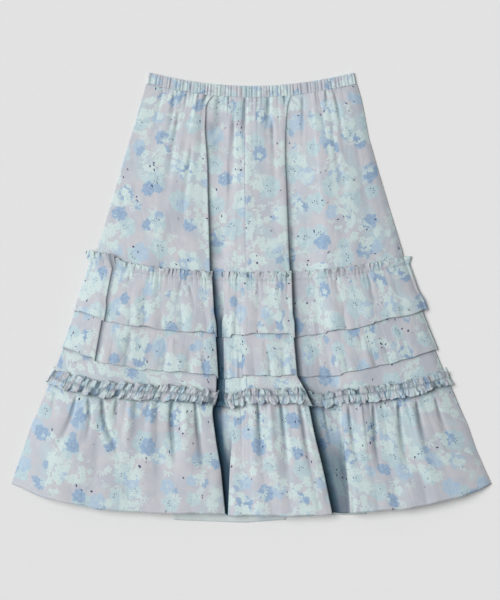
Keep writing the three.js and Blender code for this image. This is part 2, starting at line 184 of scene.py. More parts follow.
# Soft creases seen in the cloth: x and down of three points along each, its width and its
# height, which is negative for a trough
CREASES = [
    # waist
    (-74, 14, -79, 30, -82, 44, 2, -1), (53, 14, 56, 30, 57, 44, 2, -1),
    (-162, 1, -171, 30, -180, 77, 4, -0.9), (-180, 77, -203, 160, -232, 260, 5, -0.7),
    (-128, 25, -133, 64, -136, 100, 3.5, -1.1), (-108, 22, -109, 34, -110, 50, 2.5, -0.8),
    (-92, 20, -96, 60, -98, 120, 6, 0.9), (-56, 17, -58, 54, -70, 90, 3.5, -1),
    (-40, 20, -40, 70, -38, 150, 7, 0.8), (-12.5, 20, -14.6, 58, -17, 92, 3, -1.2),
    (8, 20, 9, 50, 11, 96, 6, 0.7), (28, 20, 26.7, 54, 25.6, 76, 3, -1),
    (85, 22, 83, 58, 74, 150, 5, -1.2), (100, 20, 104, 80, 112, 150, 8, 0.8),
    (123, 20, 125, 44, 122, 60, 2.5, -0.9), (138, 26, 147, 62, 165, 185, 4, -1.3),
    (158, 24, 170, 90, 190, 190, 6, 0.7),
    # long soft falls of the body
    (-110, 100, -128, 200, -150, 305, 9, -0.8), (-150, 90, -178, 190, -205, 300, 8, 0.7),
    (20, 110, 24, 200, 30, 300, 10, -0.7), (150, 150, 172, 230, 190, 300, 9, -0.8),
    (110, 150, 122, 230, 132, 300, 9, 0.7), (-146, 20, -156, 60, -166, 120, 4, -1.3),
    (-122, 60, -134, 130, -146, 230, 5, -1.3), (-100, 110, -112, 190, -120, 290, 5, -1.2),
    (-30, 60, -34, 150, -38, 260, 6, -1.1), (34, 60, 38, 150, 42, 270, 5, -1.2),
    (96, 60, 104, 140, 112, 260, 5, -1.4), (134, 90, 150, 170, 164, 280, 6, -1.3),
    (178, 110, 196, 200, 214, 300, 6, -1.1),
    # upper ruffle
    (-116, 326, -119, 343, -122, 366, 3, -1.1), (-103, 334, -98, 351, -92, 371, 3, -1),
    (-200, 328, -205, 350, -212, 385, 4, -0.8), (-160, 328, -164, 360, -168, 404, 6, 0.9),
    (10, 328, 12, 350, 15, 384, 4, -0.9), (38, 328, 40, 350, 44, 396, 5, 0.8),
    (140, 328, 144, 350, 150, 390, 4, -0.9), (196, 326, 203, 342, 206, 406, 3.5, -1.5),
    (232, 330, 238, 350, 246, 392, 5, 0.8), (-18.5, 330, -17.5, 368, -17, 420, 1.6, -1.1),
    # lower ruffle
    (-16.5, 412, -15.5, 445, -15, 492, 1.6, -1.1), (-200, 424, -206, 446, -214, 480, 5, -1),
    (-130, 424, -132, 446, -136, 480, 6, 0.9), (20, 424, 24, 446, 28, 480, 6, -0.9),
    (180, 424, 186, 446, 196, 480, 5, -1), (240, 424, 250, 446, 262, 480, 6, 0.9),
    # flounce, left lobe
    (-327, 541, -331, 560, -335, 584, 4, -1.6), (-291, 538, -299, 568, -324, 630, 4, -1.8),
    (-270, 536, -267, 568, -277, 613, 4, -1.6), (-247, 534, -244, 570, -217, 633, 4.5, -1.9),
    (-223, 534, -225, 548, -228, 570, 3.5, -1.4), (-200, 534, -204, 580, -208, 660, 9, 1.5),
    (-165, 534, -168, 570, -176, 640, 7, 1.2), (-131, 534, -134, 556, -128, 627, 4.5, -1.8),
    (-93, 530, -90, 562, -82, 640, 4, -1.9), (-110, 540, -108, 590, -104, 690, 10, 1.6),
    # flounce, centre lobe
    (11, 532, 12, 562, 15, 640, 4.5, -1.8), (30, 532, 33, 590, 38, 700, 9, 1.4),
    (49, 532, 53, 566, 60, 650, 4.5, -1.8), (80, 534, 86, 566, 100, 650, 4.5, -1.6),
    # flounce, right lobe
    (119, 531, 124, 566, 131, 606, 2.2, -2.2), (163, 536, 168, 575, 178, 650, 4.5, -1.7),
    (186, 536, 192, 590, 204, 690, 9, 1.5), (207, 538, 210, 570, 214, 650, 4, -1.8),
    (249, 540, 252, 575, 262, 660, 4.5, -1.9), (270, 540, 280, 590, 300, 690, 9, 1.4),
    (279, 542, 284, 570, 296, 630, 4, -1.6), (311, 546, 318, 575, 336, 640, 4, -1.6),
]


def clamp01(t):
    return np.clip(t, 0, 1)


def smooth(t):
    """t*t*(3 - 2*t) between 0 and 1: an S curve from 0 to 1."""
    t = clamp01(t)
    return t * t * (3 - 2 * t)


def mix(a, b, t):
    return a + (b - a) * t


def rounded(places, values, down):
    """Straight lines between places, their corners eased over 8 mm to both sides."""
    shifts = (-8, -4, 0, 4, 8)
    return sum(np.interp(down + shift, places, values) for shift in shifts) / len(shifts)


def outline(down, column):
    columns = list(zip(*OUTLINE))
    return np.interp(down, columns[0], columns[column])


def half_width(down):
    return outline(down, 1)


def puff(down):
    return outline(down, 5)


def from_table(table, place):
    places, values = zip(*table)
    return np.interp(place, places, values)


def of_down(value, down):
    """A value that is the same all the way down, or else a function of down."""
    return value(down) if callable(value) else np.full_like(down, value)


def drawn_in(x, down, insets):
    """x scaled towards the middle by a share that grows over the outer part of the right."""
    return x * (1 - from_table(insets, down) * smooth((x - 180) / 90))


def line_y(x, down):
    """WAIST_Y - down + rise*(|x|/half)^curve, the power being the left's or the right's, and
    the frill's own rises and falls, which fade above and below it."""
    across = np.abs(x) / half_width(down)
    curve = np.where(x < 0, outline(down, 3), outline(down, 4))
    near_frill = smooth((down - LOWER_HEM) / 26) * (1 - smooth((down - 536) / 90))
    shift = from_table(FRILL_SHIFT, x) * near_frill
    return WAIST_Y - down + outline(down, 2) * across**curve + shift


def fold_at(one, down, rank):
    """Each layer moves into a fold over the layer below it."""
    return rounded(FOLD_DOWNS, one.at, down) + np.sign(one.fall) * SPREAD * rank


def wander(t, seed):
    """A slow uneven wave from -1 to 1: three sines of unlike lengths."""
    a = np.sin(1.31 * t + seed)
    b = np.sin(2.87 * t + 2.1 * seed)
    c = np.sin(4.63 * t + 3.7 * seed)
    return 0.5 * a + 0.3 * b + 0.2 * c


def crest(phase, power=1):
    """|cos(pi*phase)|^power: round crests, narrow troughs."""
    return np.abs(np.cos(np.pi * phase)) ** power


def gather(count, seed, sharp):
    """Crests that are uneven in place and height."""
    uneven = count + 0.28 * wander(count, seed)
    height = 0.72 + 0.28 * wander(0.9 * count, seed + 4)
    return height * crest(uneven, sharp)


def crumple(x, y, size, seed):
    """Sines of four directions and unlike lengths, which bend one another: -1 to 1."""
    a = np.sin((0.94 * x + 0.34 * y) / size + seed + 0.9 * np.sin(y / (1.7 * size) + seed))
    b = np.sin((0.62 * x - 0.78 * y) / (0.71 * size) + 2.3 * seed + 0.8 * a)
    c = np.sin((0.21 * x + 0.98 * y) / (1.26 * size) + 3.1 * seed + 0.7 * b)
    d = np.sin((0.99 * x - 0.12 * y) / (0.55 * size) + 4.7 * seed + 0.6 * c)
    return 0.3 * (a + b + c) + 0.1 * d


def creases(x, down):
    """The sum of every crease: height*exp(-(dx/width)^2), faded over both of its ends."""
    total = np.zeros_like(x)
    for x0, d0, x1, d1, x2, d2, width, height in CREASES:
        line = rounded([d0, d1, d2], [x0, x1, x2], down)
        along = (down - d0) / (d2 - d0)
        ends = smooth(along / 0.12 + 0.5) * (1 - clamp01(along)) ** 0.7
        grown = width * (0.55 + 1.3 * clamp01(along))
        total += height * ends * np.exp(-(((x - line) / grown) ** 2))
    return total


def hollows(z, reach):
    """How far each point lies below the mean of its neighbours along the row, in mm."""
    padded = np.pad(z, ((0, 0), (reach + 1, reach)), mode="edge")
    sums = np.cumsum(padded, axis=1)
    mean = (sums[:, 2 * reach + 1 :] - sums[:, : -2 * reach - 1]) / (2 * reach + 1)
    return mean - z


def fold_shade(flat, down, rank, folds):
    """Painted shade in the long folds and right of the flap, 0 to 1: a dark core at the foot of a
    fold's lip, and a paler floor that fades out, or lower down ends where the floor rises again."""
    total = np.zeros_like(flat)
    # painted shadow to the right of the flap
    if folds is FOLDS:
        past = flat - fold_at(FLAP, down, rank)
        total += 0.7 * smooth((past + 1) / 2) * (1 - smooth(past / 9))
    # painted shade in the left and in the right fold
    valleys = ((LEFT_FALL, LEFT_RISE, LEFT_SHADE), (RIGHT_FALL, FAR_RISE, RIGHT_SHADE))
    for fall, rise, table in valleys:
        places, reach, full, shade_depth, floor_depth = zip(*table)
        foot = fold_at(fall, down, rank) - 1
        top = fold_at(rise, down, rank) + 1
        past = (flat - foot) / np.interp(down, places, reach)
        level = np.interp(down, places, full)
        core = 1 - smooth((past - level) / (1 - level))
        fading = 1 - smooth((flat - foot) / (top - foot))
        ending = 1 - smooth((flat - top + 4) / 6)
        lower = smooth((down - 560) / 80)
        closed = mix(1, ending, lower)
        dark = np.interp(down, places, shade_depth) * core * closed
        dim = np.interp(down, places, floor_depth) * mix(fading, ending, lower)
        total += smooth((flat - foot) / 2.5) * (dark + dim * (1 - dark))
    return total


def cross_section(flat, down, rank, half, folds):
    """x leans over each fold's foot by lean*2.33*t*exp(-t^2), t being the distance from the
    fold in half widths, and the height is the puff times a share that falls and rises in smooth
    steps, times sin(pi/2*side^0.8) over the outer SIDE_ROLL. calm fades a piece's own waves in
    the folds and at the sides."""
    x = flat.copy()
    share = np.ones_like(flat)
    calm = np.ones_like(flat)
    for one in folds:
        t = (flat - fold_at(one, down, rank)) / one.half
        soft = 1 + (one.soft - 1) * (1 - smooth((down - one.soft_to + 80) / 80))
        passed = smooth((t / soft + 1) / 2)
        share -= one.fall * (passed - 1 if one is FLAP else passed)
        x -= one.lean * smooth(down / 40) / soft * 2.33 * t * np.exp(-t * t)
        calm = np.minimum(calm, smooth((np.abs(t) - 0.8) / 1.6))
    foot = fold_at(LEFT_FALL, down, 0) + 3
    top = fold_at(LEFT_RISE, down, 0) - 3
    share += VALLEY_RISE * smooth((flat - foot) / (top - foot))
    for one in folds:
        from_fold = flat - fold_at(one, down, rank)
        share *= 1 - 0.16 * abs(one.fall) * np.exp(-((from_fold / 15) ** 2))
    side = clamp01((half - np.abs(flat)) / SIDE_ROLL)
    roll = np.sin(side**0.8 * np.pi / 2)
    return x, puff(down) * share * roll, calm * roll


def cloth_columns(down, rank, half, folds, spans, fine):
    """Flat x for every row and column, and the run of gathers across. spans gives the gathers
    between one fold and the next, and fine the columns of each. A fold has FOLD_COLUMNS and
    counts as half a gather."""
    marks = [-half]
    columns = []
    gathers = []
    for one, span in zip(folds, spans):
        at = fold_at(one, down, rank)
        marks += [at - one.half, at + one.half]
        columns += [max(3, round(span * fine)), FOLD_COLUMNS]
        gathers += [span, 0.5]
    marks = np.array([*marks, half])
    knots = np.cumsum([0, *columns, max(3, round(spans[-1] * fine))])
    counts = np.cumsum([0, *gathers, spans[-1]])
    column = np.arange(knots[-1] + 1)
    k = np.clip(np.searchsorted(knots, column, side="right") - 1, 0, len(knots) - 2)
    part = (column - knots[k]) / (knots[k + 1] - knots[k])
    flat = (marks[k] * (1 - part)[:, None] + marks[k + 1] * part[:, None]).T
    return flat, np.interp(column, knots, counts)


def along_rows(x, z):
    """The run along every row of a grid of points, nought at its middle column."""
    steps = np.sqrt(np.diff(x, axis=1) ** 2 + np.diff(z, axis=1) ** 2)
    run = np.concatenate([np.zeros((x.shape[0], 1)), np.cumsum(steps, axis=1)], axis=1)
    return run - run[:, run.shape[1] // 2][:, None]


def darker(shade, amount):
    """A share of what is left up to full shade is added."""
    return shade + amount * (1 - shade)


def rolled_side(sign, edge, half, down, reach, end):
    """A side turned down through an angle a, which grows to SIDE_TURN half turns: x is the half
    width + reach*sin(a), and z goes from the edge's to the end's as 1 - cos(a) does."""
    angle = np.linspace(0, 1, SIDE_POINTS)[None, 1:] * np.pi * SIDE_TURN
    out = reach * np.sin(angle)
    fall = (1 - np.cos(angle)) / (1 - np.cos(np.pi * SIDE_TURN))
    return sign * (half + out), line_y(sign * (half + 0 * out), down), mix(edge, end, fall)


def front_grid(downs, rank, folds, spans, fine, lift, wrap=1.2, side_end=None, edges=()):
    """A front piece's points and painted shade. The relief is the shared creases and slack times
    calm, plus the piece's own lift. z = low + s*ln(1 + e^((height + relief + FLOOR_DROP)/s)), s
    being
    FLOOR_SOFT, so that no trough sinks below low. Both sides roll down over wrap to side_end.
    edges: down, strength and reach of each edge under which a shadow is painted."""
    rows = downs[:, None]
    rank = of_down(rank, downs)
    half = half_width(downs)
    flat, count = cloth_columns(downs, rank, half, folds, spans, fine)
    rank = rank[:, None]
    half = half[:, None]
    x, height, calm = cross_section(flat, rows, rank, half, folds)
    under = from_table(FRONT_REST, rows) + FRONT_GAP + LAYER * rank
    near_waist = 1.3 * (1 - smooth((rows - 40) / 80))
    in_flounce = 1.3 * smooth((rows - 500) / 60)
    shared = (1.6 + near_waist + in_flounce) * creases(flat, rows) + 0.9 * slack(flat, rows)
    relief = shared * calm + lift(count[None, :], rows, calm, flat)
    low = under - FLOOR_DROP
    z = low + FLOOR_SOFT * np.logaddexp(0, (height + relief + FLOOR_DROP) / FLOOR_SOFT)
    y = line_y(flat, rows)
    end = under - SIDE_DROP if side_end is None else of_down(side_end, rows)
    reach = of_down(wrap, rows)
    left = rolled_side(-1, z[:, :1], half, rows, reach, end)
    right = rolled_side(1, z[:, -1:], half, rows, reach, end)
    x, y, z = (
        np.concatenate([before[:, ::-1], middle, after], axis=1)
        for before, middle, after in zip(left, (x, y, z), right)
    )
    # painted shade in the long folds and in the hollows of the relief
    shade = fold_shade(flat, rows, rank, folds)
    shade = darker(shade, 0.34 * clamp01(hollows(relief, 5) / 1.2 - 0.1))
    shade = darker(shade, 0.2 * clamp01(hollows(relief, 14) / 3.0 - 0.15))
    # painted shade: the right part a little darker, and darker still at its right edge
    shade = darker(shade, 0.09 * smooth((flat - 80) / 120))
    side_shade = 0.26 - 0.18 * smooth((rows - 520) / 60)
    shade = darker(shade, side_shade * (1 - smooth((half - flat) / 13)))
    shade = np.pad(shade, ((0, 0), (SIDE_POINTS - 1, SIDE_POINTS - 1)))
    # painted shadow below each edge that lies over the piece
    for place, strength, reach_down in edges:
        past = (rows - place) / reach_down
        uneven = 0.65 + 0.35 * wander(x / 37, 0.02 * place)
        fading = np.exp(-clamp01(past) * 4)
        begun = smooth(past * 9 + 9)
        shade = darker(shade, strength * uneven * fading * begun * (past < 1))
    return x, y, z, shade


# Meshes

def grid_faces(rows, columns, closed=False):
    """Quads of a grid of points, facing +Z where x runs with the columns and y falls."""
    last = 0 if closed else 1
    i = np.arange(rows - last)[:, None]
    j = np.arange(columns - last)[None, :]
    i1 = (i + 1) % rows
    j1 = (j + 1) % columns
    corners = [i * columns + j, i1 * columns + j, i1 * columns + j1, i * columns + j1]
    return np.stack(corners, axis=-1).reshape(-1, 4)


def placed(name, data):
    piece = bpy.data.objects.new(name, data)
    bpy.context.scene.collection.objects.link(piece)
    return piece


def grid_mesh(name, x, y, z, u, v, hem, head, faces, wall=CLOTH_WALL, turned=False, shade=0.0):
    """A mesh from grids of points in millimetres, with the cloth's own UV in metres, how far
    each point is from the hem's and the head's line of stitches, and its painted shade."""
    if turned:
        faces = faces[:, ::-1]
    x = x - from_table(RIGHT_INSET, y) * smooth((x - 110) / 110)
    mesh = bpy.data.meshes.new(name)
    points = np.stack([x, y, z], axis=-1).reshape(-1, 3) * MM
    mesh.vertices.add(len(points))
    mesh.vertices.foreach_set("co", points.ravel())
    mesh.loops.add(faces.size)
    mesh.loops.foreach_set("vertex_index", faces.ravel())
    mesh.polygons.add(len(faces))
    mesh.polygons.foreach_set("loop_start", np.arange(0, faces.size, 4))
    mesh.polygons.foreach_set("use_smooth", np.ones(len(faces), dtype=bool))
    mesh.update(calc_edges=True)
    uv = mesh.uv_layers.new(name="cloth")
    both = np.stack([u.ravel(), v.ravel()], axis=-1) * MM
    uv.data.foreach_set("uv", both[faces.ravel()].ravel())
    for label, field in (("hem", hem * MM), ("head", head * MM), ("shade", shade)):
        attribute = mesh.attributes.new(label, "FLOAT", "POINT")
        attribute.data.foreach_set("value", np.broadcast_to(field, x.shape).ravel())
    mesh.validate()
    piece = placed(name + "_cloth", mesh)
    if wall:
        solid = piece.modifiers.new("wall", "SOLIDIFY")
        solid.thickness = wall * MM
        solid.offset = 0
        solid.use_even_offset = False
        solid.material_offset = 1
    return piece


def dress(piece, node, slot):
    for material in MATERIALS[slot]:
        piece.data.materials.append(material)
    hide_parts(node)
    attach(piece, "root")


def sew(
    name, points, uv, hem, flat, rests_on, head=NO_STITCH, area=None, held="gathered", **form
):
    """A piece of printed cotton: its mesh from the grids of points and UV, with the cloth's
    materials.
    """
    piece = grid_mesh(name, *points, *uv, hem, head, grid_faces(*points[0].shape), **form)
    dress(piece, name, "printed_cotton")


# Front pieces

FRONT_PANELS = ["body_front_left", "body_front_right"]

# Each step of a hem: its x, and how far the edge rises to the right of it
UPPER_STEPS = [
    (-249, -2.2), (-184, 2.0), (-61, -6.0), (-34, 5.5), (67, -5.0), (124, 4.5), (205, 3.5),
]
LOWER_STEPS = [
    (-262, -5.5), (-176, 2.8), (-57, -6.5), (-15, 5.0), (74, -5.0), (151, 2.6), (213, 3.0),
]
FLOUNCE_STEPS = [(-42, -3.0), (134, 3.0)]


def waist_gathers(flat, down, calm):
    """Gathers that run out of the waistband: fine ones end soon, broad ones run on."""
    past = down - BAND_DEPTH
    across = flat / half_width(down)
    fine = 2.3 * np.exp(-past / 15) * (gather(25 * across, 0.6, 0.6) - 0.6)
    middle = 2.8 * np.exp(-past / 48) * (gather(10.5 * across, 2.4, 0.55) - 0.6)
    broad = 1.2 * np.exp(-past / 120) * wander(19 * across, 1.3)
    return calm * (fine + middle + broad)


def body_lift(count, down, calm, flat):
    """The waist's gathers and a fine crumple."""
    return waist_gathers(flat, down, calm) + 0.2 * calm * crumple(flat, down, 6, 2.9)


def slack(flat, down):
    """Broad slack waves and soft crushing that every layer of the front shares."""
    from_waist = smooth((down - 40) / 140)
    waves = 1.5 * from_waist * wander(flat / (20 + down / 25) + down / 240, 0.4)
    return waves + 0.8 * crumple(flat, 0.7 * down, 15, 0.7) + 0.35 * crumple(flat, down, 7, 2.1)


def body_panels():
    """Both front panels: one grid of body_lift, parted at its column nearest the centre front
    seam. Near the seam x is drawn onto it by e^-(dx/9)^2, and z has a groove 0.4*e^-(dx/1.3)^2."""
    top = BAND_DEPTH - 0.5
    downs = top + (FRILL_LINE - top) * np.linspace(0, 1, 140) ** 1.2
    rows = downs[:, None]
    x, _, z, shade = front_grid(
        downs, rank=0, folds=BODY_FOLDS, spans=[13, 0.3, 2.5, 6, 0.3, 0.5, 13], fine=11,
        lift=body_lift, edges=[(BAND_DEPTH, 0.1, 5), (LOWER_HEM, 0.75, 8)],
    )
    seam = from_table(SEAM, rows)
    column = int(np.median(np.argmin(np.abs(x - seam), axis=1)))
    nearest = x[:, column : column + 1]
    x = x + (seam - nearest) * np.exp(-(((x - nearest) / 9) ** 2))
    z = z - 0.4 * np.exp(-(((x - seam) / 1.3) ** 2))
    x = drawn_in(x, rows, BODY_INSET)
    y = line_y(x, rows)
    u = along_rows(x, z) * (1 + 0.35 * np.exp(-(rows - BAND_DEPTH) / 60))
    v = 0 * x - rows
    sides = ((slice(0, column + 1), -40, 0), (slice(column, None), 310, 170))
    for name, (part, shift_u, shift_v) in zip(FRONT_PANELS, sides):
        sew(
            name, (x[:, part], y[:, part], z[:, part]),
            (u[:, part] + shift_u, v[:, part] + shift_v), hem=NO_STITCH,
            head=np.abs(x[:, part] - seam) - 2.5, flat=(0.36, 0.52), area=0.14,
            rests_on=["body_back"], shade=shade[:, part],
        )


def lower_lift(count, down, calm, flat):
    """Waves that grow towards the hem, fine gathers and a crumple."""
    fall = smooth((down - UPPER_HEM) / (LOWER_HEM - UPPER_HEM))
    waves = 2.8 * fall * gather(count / 2.9, 2.3, 1.2)
    fine = 0.2 * gather(count * 1.7, 0.9, 1)
    crushed = 0.5 * crumple(flat, down, 9, 1.9)
    return calm * (waves + fine + crushed * fall)


def heading(down):
    """0 at the upper seam and 1 at the top of the heading over it."""
    return smooth((UPPER_SEAM - down) / (UPPER_SEAM - HEADING_TOP))


def upper_lift(count, down, calm, flat):
    """Flutes |cos(pi*phase)|^0.7 above the seam, a groove at it, and below it gathers that soon
    end and waves that grow towards the hem."""
    above = heading(down)
    hem = smooth((down - UPPER_SEAM) / (UPPER_HEM - UPPER_SEAM))
    uneven = 0.65 + 0.35 * wander(0.5 * count, 2.2)
    phase = 0.44 * count + 0.85 * wander(0.62 * count, 0.7)
    flutes = 6.4 * above * uneven * crest(phase, 0.7)
    pinch = 1.9 * (1 - above) * np.exp(-clamp01((down - UPPER_SEAM) / 60) * 5) * uneven
    pinch = pinch * gather(0.82 * count, 0.2, 0.8)
    seam = -0.7 * np.exp(-(((down - UPPER_SEAM) / 1.8) ** 2))
    waves = 3.0 * hem * gather(count / 4.3, 1.7, 1.2)
    crushed = (0.3 + 0.5 * above) * crumple(flat, down, 6, 0.4)
    return calm * (flutes + pinch + waves + crushed + 0.8 * above) + seam


def piece_uv(x, z, down, fullness, shift_u, shift_v):
    """The run along each row, drawn out to the length of the hem's and times its fullness, so
    that gathered cloth shows its print squeezed sideways."""
    run = along_rows(x, z)
    length = run[:, -1:] - run[:, :1]
    u = run * length[-1] / length * fullness + shift_u
    return u, 0 * x - down + shift_v


def hem_wave(x, down, hem, height, seed, steps):
    """Small uneven waves of a lower edge, and the steps where a fold crosses it, growing over
    its last 30 and 60 mm."""
    waves = height * smooth((down - hem + 30) / 30) * wander(x / 21, seed)
    stepped = sum(rise * (smooth((x - place) / 4 + 0.5) - 0.5) for place, rise in steps)
    return waves + stepped * smooth((down - hem + 60) / 60)


def upper_rank(down):
    """The upper ruffle climbs from the body onto the lower ruffle."""
    return 1 + smooth((down - 374) / 16)


def upper_wrap(down):
    return 2 * SIDE_WRAP + 5 * heading(down)


def upper_ruffle():
    """upper_lift, with the heading swayed by 2.2*sin of the column and by a wander of it, and
    its left end curled over by 7*|sin(column)|^0.7."""
    above_seam = np.linspace(HEADING_TOP, UPPER_SEAM, 12)
    downs = np.concatenate([above_seam, np.linspace(UPPER_SEAM, UPPER_HEM, 34)[1:]])
    rows = downs[:, None]
    x, y, z, shade = front_grid(
        downs, rank=upper_rank, folds=FOLDS, spans=[6, 24, 0.5, 4, 12, 0.5, 3, 22], fine=9,
        lift=upper_lift, wrap=upper_wrap, side_end=1.7, edges=[(UPPER_SEAM, 0.1, 5)],
    )
    up = heading(rows)
    column = np.arange(x.shape[1])[None, :]
    curled = up * smooth((-x - 204) / 22)
    x = x + 2.2 * up * np.sin(0.66 * column + 1.2 * np.sin(0.09 * column)) - 7 * curled
    scallop = np.abs(np.sin(0.14 * column + 0.4)) ** 0.7
    y = y + 2.6 * up * wander(0.28 * column, 1.1) + curled * (4 + 7 * scallop)
    z = z + 7 * curled * scallop
    # painted shade in the troughs of the curled scallops
    shade = shade + 0.5 * curled * clamp01(0.6 - scallop)
    y = y + hem_wave(x, rows, UPPER_HEM, 2.3, 0.3, UPPER_STEPS)
    sew(
        "ruffle_upper_front", (x, y, z),
        piece_uv(x, z, rows, fullness=1.25, shift_u=120, shift_v=400), hem=UPPER_HEM - rows - 3,
        head=rows - UPPER_SEAM, flat=(0.74, 0.105),
        rests_on=[*FRONT_PANELS, "ruffle_lower_front"], shade=shade,
    )


def lower_rest(down):
    """The height of what the lower ruffle lies on at its sides and at the back."""
    return np.maximum(0, from_table(BACK_REST, down) - LAYER)


def lower_side(down):
    return lower_rest(down) + 1.7


def lower_ruffle():
    """lower_lift, drawn in at the right, with a wavy and stepped hem."""
    downs = np.linspace(LOWER_SEAM, LOWER_HEM, 44)
    rows = downs[:, None]
    x, y, z, shade = front_grid(
        downs, rank=1, folds=FOLDS, spans=[5, 18, 0.5, 3, 10, 0.5, 3, 18], fine=7,
        lift=lower_lift, wrap=SIDE_WRAP, side_end=lower_side, edges=[(UPPER_HEM, 0.75, 8)],
    )
    x = drawn_in(x, rows, LOWER_INSET)
    y = y + hem_wave(x, rows, LOWER_HEM, 2.2, 2.3, LOWER_STEPS)
    sew(
        "ruffle_lower_front", (x, y, z),
        piece_uv(x, z, rows, fullness=1.2, shift_u=-210, shift_v=560), hem=LOWER_HEM - rows - 3,
        flat=(0.76, 0.09), rests_on=FRONT_PANELS, shade=shade,
    )


def frill_phase(count, step):
    """The flutes of the frill's two edges, each with its own uneven run."""
    upper = 0.92 * count + 0.55 * wander(1.1 * count, 0.9)
    lower = 0.88 * count + 0.55 * wander(1.2 * count, 2.6) + 0.45
    return np.where(step < 0, upper, lower)


def flute(count, step):
    """|cos(pi*phase)|^0.7 of unlike heights: round tops with narrow clefts between them."""
    tall = 0.74 + 0.26 * wander(2.3 * count, np.where(step < 0, 1.4, 3.9))
    return tall * crest(frill_phase(count, step), 0.7)


def frill_lift(count, down, calm, flat):
    """Flutes that flare towards both edges, finer ones over them, and narrow pleats between
    the frill's middle thread and the flutes."""
    step = (down - FRILL_LINE) / FRILL_HALF
    edge = np.abs(step)
    flare = mix(0.05, 1, edge) * mix(0.5, 1, calm)
    pleats = crest(2.9 * (count + 0.3 * wander(2 * count, 3.1) + 0.2 * step), 0.7)
    ruched = 1.9 * (1 - 0.7 * edge) * smooth(edge * 5) * pleats
    second = crest(1.9 * count + 0.8 * wander(1.7 * count, 1.9) + 0.5 * step)
    crushed = 1.3 * edge * crumple(flat, down, 3.4, 0.3)
    shape = 0.7 * flute(count, step) + 0.3 * second**0.8
    return 1.0 + 10.5 * flare * shape + crushed + ruched


def frill():
    """frill_lift, its flutes leaning sideways by the sine of their phase and by a wander, and
    both its edges drawn out into petals by |cos(pi*phase)|^0.8. Painted shade darkens the
    clefts, the middle thread and the pleats."""
    downs = FRILL_LINE + FRILL_HALF * np.linspace(-1, 1, 31)
    rows = downs[:, None]
    fine = 19
    x, y, z, shade = front_grid(
        downs, rank=1, folds=BODY_FOLDS, spans=[16, 0.5, 1.5, 6, 0.5, 1.5, 10], fine=fine,
        lift=frill_lift, wrap=2 * SIDE_WRAP, side_end=1.6,
    )
    step = (rows - FRILL_LINE) / FRILL_HALF
    edge = np.abs(step)
    run = np.arange(x.shape[1])[None, :] / fine
    phase = frill_phase(run, step)
    top = crest(phase)
    leaning = wander(2.6 * run, np.where(step < 0, 1.7, 4.2))
    x = x + edge * (2.0 * np.sin(2 * np.pi * phase) + 5.2 * leaning * flute(run, step))
    petal = top**0.8 + 0.35 * wander(4.1 * run, np.where(step < 0, 0.5, 2.2))
    y = y - 6.5 * step * edge**2 * (petal - 1.3)
    # painted shade in the clefts between the petals, along the middle thread and in the pleats
    cleft = clamp01(2.6 * (1 - top) - 1.3)
    shade = np.maximum(shade, 0.9 * cleft * mix(0.75, 1, leaning * leaning))
    shade = np.maximum(shade, 0.34 * (1 - smooth(edge * 3)))
    pleat = crest(2.3 * run + 0.7 * wander(2.1 * run, 3.1) + 0.35 * step)
    shade_depth = 0.62 * (0.6 + 0.4 * wander(1.3 * run, 5.2)) * (1 - edge**2)
    shade = np.maximum(shade, shade_depth * clamp01(1.25 - 3.6 * pleat))
    sew(
        "frill_front", (x, y, z),
        piece_uv(x, z, rows, fullness=2.3, shift_u=300, shift_v=-90),
        hem=FRILL_HALF - np.abs(rows - FRILL_LINE) - 1.5, head=rows - FRILL_LINE,
        flat=(1.0, 0.034), rests_on=[*FRONT_PANELS, "flounce_front"], wall=FRILL_WALL,
        shade=shade,
    )


def flounce_lift(count, down, calm, flat):
    """Fine and middling gathers that fade below the frill, and waves that grow to the hem."""
    past = down - FRILL_LINE
    opened = smooth(past / (HEM - FRILL_LINE))
    fine = 1.5 * np.exp(-past / 20) * (gather(count * 1.2, 0.6, 0.6) - 0.5)
    middle = 2.1 * np.exp(-past / 95) * (gather(count * 0.55, 1.9, 0.7) - 0.5)
    waves = 2.2 * opened * gather(count / 3.8, 2.9, 1.5)
    crushed = (0.3 + 0.5 * opened) * crumple(flat, down, 14, 3.3)
    return calm * (fine + middle + waves + crushed)


def flounce():
    """flounce_lift, with a wavy and stepped hem."""
    top = FRILL_LINE + 0.5
    downs = top + (HEM - top) * np.linspace(0, 1, 60) ** 1.25
    rows = downs[:, None]
    x, y, z, shade = front_grid(
        downs, rank=0, folds=BODY_FOLDS, spans=[18, 0.6, 2.4, 11, 0.6, 2, 19], fine=9,
        lift=flounce_lift, edges=[(FRILL_LINE + 13, 0.6, 12)],
    )
    y = y + hem_wave(x, rows, HEM, 1.5, 1.1, FLOUNCE_STEPS)
    sew(
        "flounce_front", (x, y, z),
        piece_uv(x, z, rows, fullness=1.0, shift_u=60, shift_v=900), hem=HEM - rows - 4,
        flat=(0.86, 0.195), rests_on=["flounce_back"], shade=shade,
    )


def blunt(wave):
    """sign(wave)*|wave|^0.55: a circle's sine drawn out towards a square."""
    return np.sign(wave) * np.abs(wave) ** 0.55


